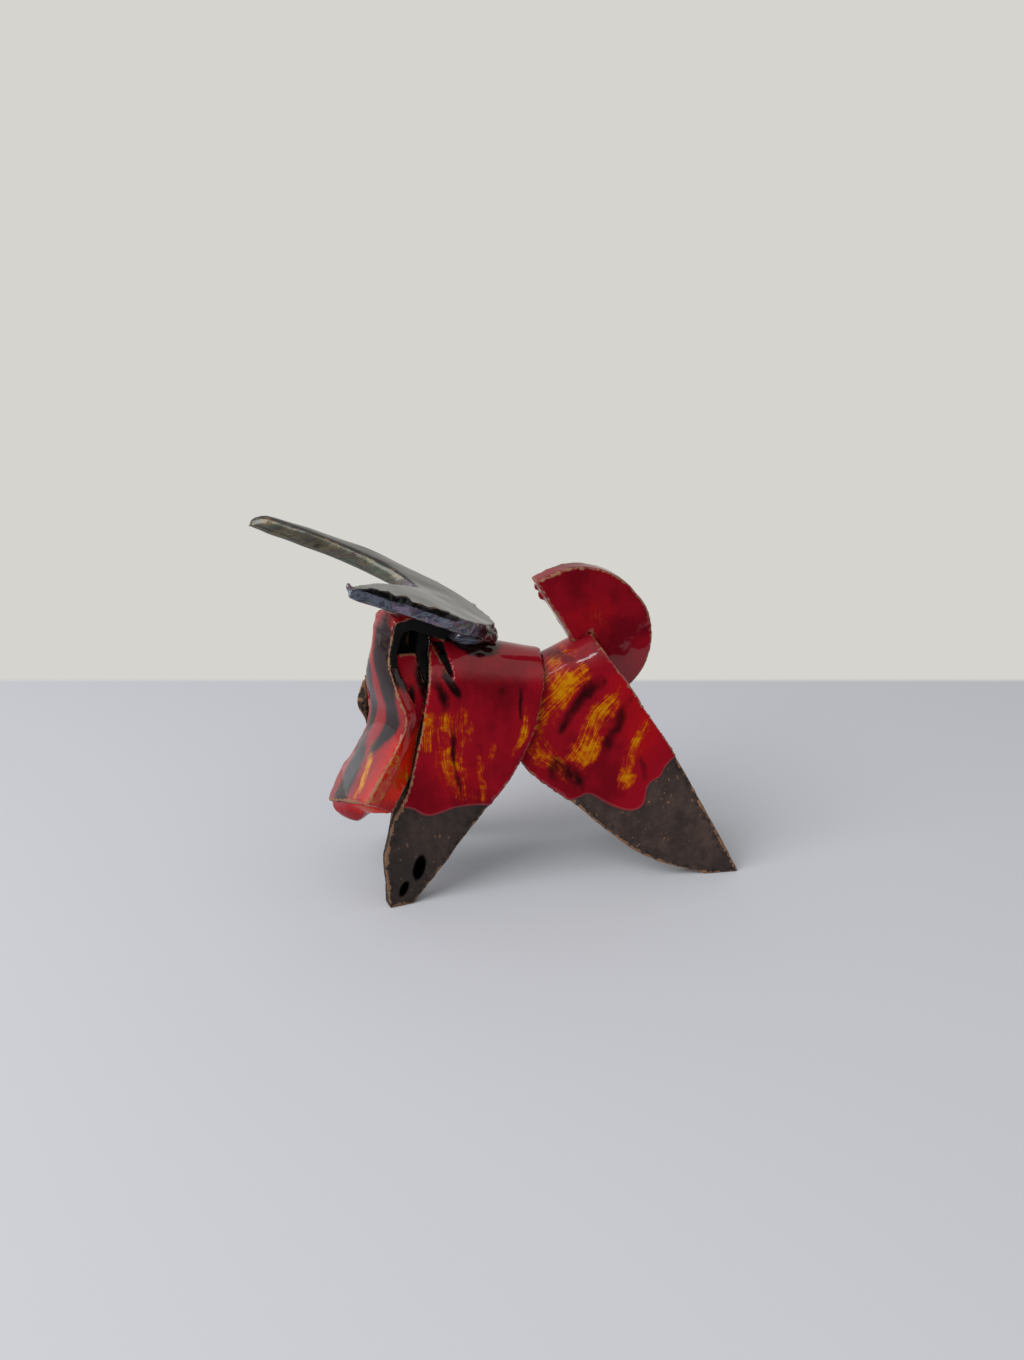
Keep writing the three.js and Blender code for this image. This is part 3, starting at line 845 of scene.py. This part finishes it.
class BULL_OT_stage(bpy.types.Operator):
    """Sets the camera, the pale floor and the soft light"""

    bl_idname = "bull.stage"
    bl_label = "Stage"

    def execute(self, context):
        stage = context.scene.bull_stage
        context.scene.view_settings.view_transform = "Standard"
        turn = (math.pi / 2 - stage.camera_tilt, 0, -stage.camera_turn)
        bpy.ops.object.camera_add(location=stage.camera_place, rotation=turn)
        camera = context.object
        camera.data.lens = stage.lens
        camera.data.clip_start = 0.01
        context.scene.camera = camera

        bpy.ops.mesh.primitive_plane_add(size=6)
        floor = context.object
        floor.name = "floor"
        floor.data.materials.append(self.floor_material(stage))

        bpy.ops.object.light_add(type="AREA", location=stage.window_place)
        window = context.object
        window.data.size = stage.window_size
        window.data.energy = stage.window_power
        window.rotation_euler = facing_turn(window.location, WINDOW_AIM)

        dark = self.dark_material()
        for name, place, tilt in CARDS:
            self.unseen(name, place, CARD_SIZE, (tilt, 0, 0), dark)
        for name, place, size, strength in PANES:
            lit = self.lit_material(name, strength)
            self.unseen(name, place, size, facing_turn(place, PANE_AIM), lit)
        self.world(context, stage)
        return {"FINISHED"}

    def dark_material(self):
        """Black that fades out upwards."""
        material, wire = new_material("Black card")
        height = wire.node("SeparateXYZ", {0: wire.place()}).outputs[2]
        dark = wire.node("BsdfDiffuse", {"Color": CARD_BLACK})
        clear = wire.node("BsdfTransparent", {})
        faded = {0: wire.rise(height, 0.15, 0.5), 1: dark.outputs[0], 2: clear.outputs[0]}
        wire.show(wire.node("MixShader", faded))
        return material

    def lit_material(self, name, strength):
        """The even light of a pane."""
        material, wire = new_material(name)
        wire.show(wire.node("Emission", {"Color": PANE_WHITE, "Strength": strength}))
        return material

    def unseen(self, name, place, size, turn, material):
        """A plane that only reflections see."""
        bpy.ops.mesh.primitive_plane_add(size=size, location=place, rotation=turn)
        card = bpy.context.object
        card.name = name
        bpy.ops.object.transform_apply()
        card.data.materials.append(material)
        card.visible_camera = False
        card.visible_diffuse = False
        card.visible_shadow = False

    def shown(self, wire):
        """1 for the camera and for reflections, and 0 for light that falls on things."""
        path = wire.node("LightPath", {}).outputs
        return wire.math("MAXIMUM", path["Is Camera Ray"], path["Is Glossy Ray"])

    def floor_material(self, stage):
        """Pale cloth near the bull, and the pale surroundings past the table edge."""
        material, wire = new_material("Pale floor")
        seen = wire.node("Mapping", {"Vector": wire.place(), "Rotation": (0, 0, stage.camera_turn)})
        depth = wire.node("SeparateXYZ", {0: seen.outputs[0]}).outputs[1]
        past = wire.rise(depth, stage.table_edge - 4 * MM, stage.table_edge + 4 * MM)
        cloth = wire.node("BsdfDiffuse", {"Color": stage.floor})
        wall = wire.node("Emission", {"Color": stage.wall})
        share = wire.times(past, self.shown(wire))
        wire.show(wire.node("MixShader", {0: share, 1: cloth.outputs[0], 2: wall.outputs[0]}))
        return material

    def world(self, context, stage):
        """Even light, with pale surroundings for the camera and for reflections."""
        world = bpy.data.worlds.new("Pale room")
        context.scene.world = world
        world.use_nodes = True
        world.node_tree.nodes.clear()
        wire = Wiring(world.node_tree)
        colour = wire.blend(self.shown(wire), EVEN_GREY, stage.wall)
        back = wire.node("Background", {"Color": colour})
        wire.node("OutputWorld", {"Surface": back.outputs[0]})


class BULL_OT_body_slabs(bpy.types.Operator):
    """Models the two saddle slabs that make the body and the legs"""

    bl_idname = "bull.body_slabs"
    bl_label = "Body slabs"

    def execute(self, context):
        glazes = context.scene.bull_glaze
        facet = context.scene.bull_clay.body_facet
        reds = (glazes.deep_red, glazes.red, glazes.bright_red)
        material = glazed_slab("Body glaze", reds, 0.24)
        front, gap = worked("front_saddle", "front_body_slab", facet)
        gap = gap + NO_LINE * self.slit_side(front)
        self.bend_tab(front)
        self.bow_leg(front)
        # Painted shade: the bare clay of the front slab is darkened at least 0.4 of the way to black, for
        # the shade on the front legs.
        self.finish(front, gap, FRONT_STOP, FRONT_MARKS, 0.4)
        stand_for(front, "front_saddle", material)
        rear, gap = worked("rear_saddle", "rear_body_slab", facet)
        self.finish(rear, gap, REAR_STOP, REAR_MARKS, 0.0)
        stand_for(rear, "rear_saddle", material)
        return {"FINISHED"}

    def past_slit(self, x, z):
        """How far each vertex lies behind the slit at the neck."""
        return x - np.interp(z, SLIT_HEIGHTS, SLIT_X)

    def bend_tab(self, front):
        """Bends the freed tab at the neck inwards and forwards."""
        x, y, z = axes(front)
        lift = rise(64, 78, z) * (self.past_slit(x, z) < 0) * (y < -2)
        push(front, "tab in", lift, TAB_IN, "Y")
        push(front, "tab ahead", lift, -TAB_AHEAD, "X")

    def bow_leg(self, front):
        """Bows the front edge of the near leg forwards."""
        x, y, z = axes(front)
        bow = rise(4, 18, z) * (1 - rise(24, 38, z)) * (1 - rise(-33, -22, x)) * (y < 0)
        push(front, "bow", bow, -LEG_BOW, "X")

    def slit_side(self, front):
        """Marks the rear side of the slit, which stays dark."""
        x, y, z = axes(front)
        past = self.past_slit(x, z)
        return rise(-0.6, 0, past) * (1 - rise(2, 3, past)) * rise(58, 61, z) * (y < -2)

    def finish(self, piece, gap, stop, marks, shade):
        handle(piece, gap)
        places, normals = surface(piece)
        x, y, z = places.T
        plane = both_sides(places)
        facing = outside(places, normals)
        reach = np.minimum(glaze_above(plane, stop), (facing - 0.35) * TURN_REACH)
        # Painted shade: bare clay high under the bend, and on faces turned into the hollow under the body,
        # is darkened towards black.
        hollow_shade = np.maximum(rise(44, 58, z), 0.6 * rise(0.6, 0.9, -facing))
        glaze(piece, gap, reach, np.maximum(hollow_shade, shade))
        brush(piece, plane, marks)
        spots = np.zeros_like(gap)
        for ahead, middle, wide, high, lean in FOOT_SPOTS:
            up = z - middle
            off = np.hypot((x - ahead - lean * up) / wide, up / high)
            spots = np.maximum(spots, (1 - rise(0.8, 1.1, off)) * (y < 0) * (facing > 0))
        keep(piece, "foot_spot", spots)


class BULL_OT_head_slabs(bpy.types.Operator):
    """Models the face strap, the cheeks and the slabs that close the head"""

    bl_idname = "bull.head_slabs"
    bl_label = "Head slabs"

    def execute(self, context):
        facet = context.scene.bull_clay.head_facet
        self.strap(facet)
        self.cheeks(context, facet)
        self.closers(context, facet)
        return {"FINISHED"}

    def strap(self, facet):
        strap, gap = worked("face_strip", "face_strap", facet)
        self.narrow_brow(strap)
        handle(strap, gap, 1.2)
        places, normals = surface(strap)
        z = places[:, 2]
        over = rise(78, 88, z)
        ahead = np.column_stack((np.outer(1 - over, HEAD_AHEAD), over))
        facing = np.sum(ahead * normals, axis=1)
        wrap = 0.8 * rise(72, 77, z) - 0.45
        gap = gap + NO_LINE * (1 - rise(0.05, 0.25, facing))
        # The strap's bare faces are made black all over: partly its own black, partly painted shade in the
        # gaps beside it.
        glaze(strap, gap, (facing - wrap) * TURN_REACH, np.ones_like(gap))
        brush(strap, face_plane(places), FACE_MARKS)
        stand_for(strap, "face_strip", glazed_slab("Face glaze", FACE_REDS, 0.4))

    def narrow_brow(self, strap):
        """Draws in the far edge of the strap at the brow, and raises its front corner to the horns."""
        places, _ = surface(strap)
        inward = rise(1, 8, face_plane(places)[:, 0]) * rise(70, 80, places[:, 2])
        push(strap, "brow x", inward, -BROW_IN * HEAD_RIGHT[0], "X")
        push(strap, "brow y", inward, -BROW_IN * HEAD_RIGHT[1], "Y")
        x, y, z = axes(strap)
        ahead = np.stack((x, y), axis=1) @ HEAD_AHEAD
        front = ahead[z > 82].max()
        corner = rise(82, 87, z) * rise(front - 5, front - 1, ahead)
        push(strap, "brow corner", corner, BROW_UP, "Z")

    def swell_far_cheek(self, cheek):
        """Lets the far cheek stand out past the strap over most of its height."""
        z = axes(cheek)[2]
        low = rise(29, 39, z) * (1 - rise(53, 60, z))
        high = rise(60, 66, z) * (1 - rise(67, 74, z))
        push(cheek, "swell x", low + 0.5 * high, -CHEEK_AHEAD, "X")
        push(cheek, "swell y", low + 0.6 * high, CHEEK_OUT, "Y")

    def above_far_stop(self, places):
        """Height above the wavy line where the glaze of the far cheek stops."""
        above = places[:, 2] - 66
        ahead = places[:, :2] @ HEAD_AHEAD
        return above + 2.4 * np.sin(0.45 * (ahead[np.abs(above) < 4].max() - ahead))

    def cheeks(self, context, facet):
        glazes = context.scene.bull_glaze
        reds = (glazes.deep_red, glazes.red, glazes.muzzle_red)
        cheek_glaze = glazed_slab("Cheek glaze", reds, 0.3, 0.2)
        for node, side in (("left_cheek", -1), ("right_cheek", 1)):
            cheek, gap = worked(node, node + "_slab", facet)
            if side > 0:
                self.swell_far_cheek(cheek)
            handle(cheek, gap, 1.2)
            places, normals = surface(cheek)
            facing = side * (normals[:, :2] @ HEAD_RIGHT)
            reach = (facing - 0.2) * TURN_REACH
            if side > 0:
                reach = np.minimum(reach, self.above_far_stop(places))
                # Painted shade: the far cheek's faces that turn inwards are darkened towards black.
                black_and_shade = 0.95 * rise(0, 0.4, -facing)
            else:
                gap = gap + NO_LINE * rise(0.1, 0.3, normals[:, :2] @ HEAD_AHEAD)
                # Painted shade: the near cheek's bare rear and inner faces are made nearly black, for the
                # dark gap between it and the body.
                black_and_shade = np.full_like(gap, 0.92)
            glaze(cheek, gap, reach, black_and_shade)
            brush(cheek, places[:, [0, 2]], CHEEK_MARKS)
            stand_for(cheek, node, cheek_glaze)

    def tilt_nose(self, nose):
        """Hangs the nose slab lowest under the far half of the muzzle, and tucks in its near half."""
        x, _, z = axes(nose)
        share = (x - x.min()) / (x.max() - x.min())
        lower = 1 - rise(-1.5, 1.5, z - (z.min() + z.max()) / 2)
        far = 1 - rise(0.3, 0.75, share)
        push(nose, "far half", lower * rise(0, 0.4, share) * far, -NOSE_DROP, "Z")
        push(nose, "near half", lower * rise(0.36, 0.66, share), NOSE_TUCK, "Z")
        push(nose, "shut", (1 - lower) * far, NOSE_SHUT, "Z")
        push(nose, "ahead", lower * (1 - rise(0, 0.5, share)), -NOSE_AHEAD, "X")

    def closers(self, context, facet):
        """The nose slab from below and the slab that shuts the head from behind."""
        glazes = context.scene.bull_glaze
        nose, gap = worked("nose_plate", "nose_slab", facet)
        self.tilt_nose(nose)
        handle(nose, gap)
        places, _ = surface(nose)
        glaze(nose, gap, np.full_like(gap, ALL_OVER), np.zeros_like(gap))
        brush(nose, face_plane(places), NOSE_MARKS)
        reds = (glazes.deep_red, glazes.red, glazes.muzzle_red)
        stand_for(nose, "nose_plate", glazed_slab("Nose glaze", reds, -1.0, 0.16))

        throat, gap = worked("throat_slab", "throat_closer", facet)
        handle(throat, gap)
        keep(throat, "arris_gap", gap + 2)
        # Painted shade: the throat slab darkens towards black upwards, into the hollow of the head.
        keep(throat, "black_and_shade", rise(36, 58, axes(throat)[2]))
        stand_for(throat, "throat_slab", clay_slab("Throat clay"))


class BULL_OT_horns(bpy.types.Operator):
    """Models the crescent of both horns and the wad it is bedded on"""

    bl_idname = "bull.horns"
    bl_label = "Horns"

    def execute(self, context):
        facet = context.scene.bull_clay.head_facet
        material = horn_material()
        horns, gap = worked("horn_slab", "crescent_horns", facet, HORN_DROPS)
        self.round_far_arm(horns)
        rim, near, sunk = self.zones(horns)
        folds = rim * rise(-26, -14, axes(horns)[0])
        roughen(horns, "folds", folds, *FOLDS)
        roughen(horns, "swell", rim * near, *SWELL)
        ridge = near * (1 - rise(0.6, 2.2, gap)) * (1 - rise(1.5, 3, sunk))
        lip = near * (1 - rise(0.3, 2.0, gap)) * (1 - rise(0.6, 1.8, sunk))
        roughen(horns, "lip", lip, *LIP, mid_level=0.1, direction="Z")
        roughen(horns, "groove", ridge, *GROOVE, mid_level=0.62, octaves=2)
        handle(horns, gap, 0.6)
        self.finish(horns, gap)
        stand_for(horns, "horn_slab", material)
        bed, gap = worked("horn_seat", "horn_bed", facet)
        handle(bed, gap)
        self.finish(bed, gap)
        stand_for(bed, "horn_seat", material)
        return {"FINISHED"}

    def round_far_arm(self, horns):
        """Rounds the longer horn into a bar with a narrow tip."""
        x, y, _ = axes(horns)
        smooth(horns, "far arm", rise(4, 14, y), ARM_ROUNDING)
        smooth(horns, "tip", rise(58, 72, -x), ARM_ROUNDING)
        x, _, z = axes(horns)
        end = rise(69, 77, -x)
        push(horns, "tip down", end * rise(107.5, 110.5, z), -TIP_DOWN, "Z")
        push(horns, "tip up", end * (1 - rise(104.5, 107.5, z)), TIP_UP, "Z")

    def zones(self, piece):
        """How far each vertex is on the rim, on the near horn, and below the slab's top."""
        places, normals = surface(piece)
        x, y, z = places.T
        height, along, aside = HORN_TOP
        sunk = height + along * x + aside * y - z
        rim = 1 - rise(0.5, 0.85, np.abs(normals[:, 2]))
        outward = (places[:, :2] - NEAR_ROOT) @ NEAR_OUT
        near = rise(5, 9, -y) * rise(10, 16, -x) * rise(-0.5, 1.5, outward)
        return rim, near, sunk

    def finish(self, piece, gap):
        places, normals = surface(piece)
        rim, near, sunk = self.zones(piece)
        keep(piece, "rim", rim)
        keep(piece, "far", rise(4, 14, places[:, 1]))
        keep(piece, "groove", near * (1 - rise(0.8, 2.2, gap)) * (1 - rise(0.9, 2.0, sunk)))
        keep(piece, "drip", rise(-9, -4, places[:, 0]) * (1 - rise(0.55, 0.85, normals[:, 2])))
        keep(piece, "arris_gap", gap)


class BULL_OT_tail(bpy.types.Operator):
    """Models the half-moon tail"""

    bl_idname = "bull.tail"
    bl_label = "Tail"

    def execute(self, context):
        glazes = context.scene.bull_glaze
        tail, gap = worked("tail_slab", "tail_fan", context.scene.bull_clay.head_facet, TAIL_DROPS)
        handle(tail, gap)
        places, _ = surface(tail)
        glaze(tail, gap, np.full_like(gap, ALL_OVER), np.zeros_like(gap))
        brush(tail, places[:, [0, 2]], TAIL_MARKS)
        reds = (glazes.deep_red, glazes.red, glazes.bright_red)
        stand_for(tail, "tail_slab", glazed_slab("Tail glaze", reds, 0.28))
        return {"FINISHED"}


SETTINGS = {"bull_clay": ClaySettings, "bull_glaze": GlazeSettings, "bull_stage": StageSettings}
OPERATORS = (BULL_OT_stage, BULL_OT_body_slabs, BULL_OT_head_slabs, BULL_OT_horns, BULL_OT_tail)


class BULL_PT_panel(bpy.types.Panel):
    """Lists the bull's settings and pieces"""

    bl_idname = "BULL_PT_panel"
    bl_label = "Slab-built bull"
    bl_space_type = "VIEW_3D"
    bl_region_type = "UI"
    bl_category = "Bull"

    def draw(self, context):
        for key, group in SETTINGS.items():
            for name in group.__annotations__:
                self.layout.prop(getattr(context.scene, key), name)
        for operator in OPERATORS:
            self.layout.operator(operator.bl_idname)


CLASSES = tuple(SETTINGS.values()) + OPERATORS + (BULL_PT_panel,)


def register():
    for each in CLASSES:
        bpy.utils.register_class(each)
    for name, group in SETTINGS.items():
        setattr(bpy.types.Scene, name, bpy.props.PointerProperty(type=group))


def unregister():
    for name in SETTINGS:
        delattr(bpy.types.Scene, name)
    for each in reversed(CLASSES):
        bpy.utils.unregister_class(each)


def main():
    register()
    bpy.ops.bull.stage()
    bpy.ops.bull.body_slabs()
    bpy.ops.bull.head_slabs()
    bpy.ops.bull.horns()
    bpy.ops.bull.tail()


if __name__ == "__main__":
    main()
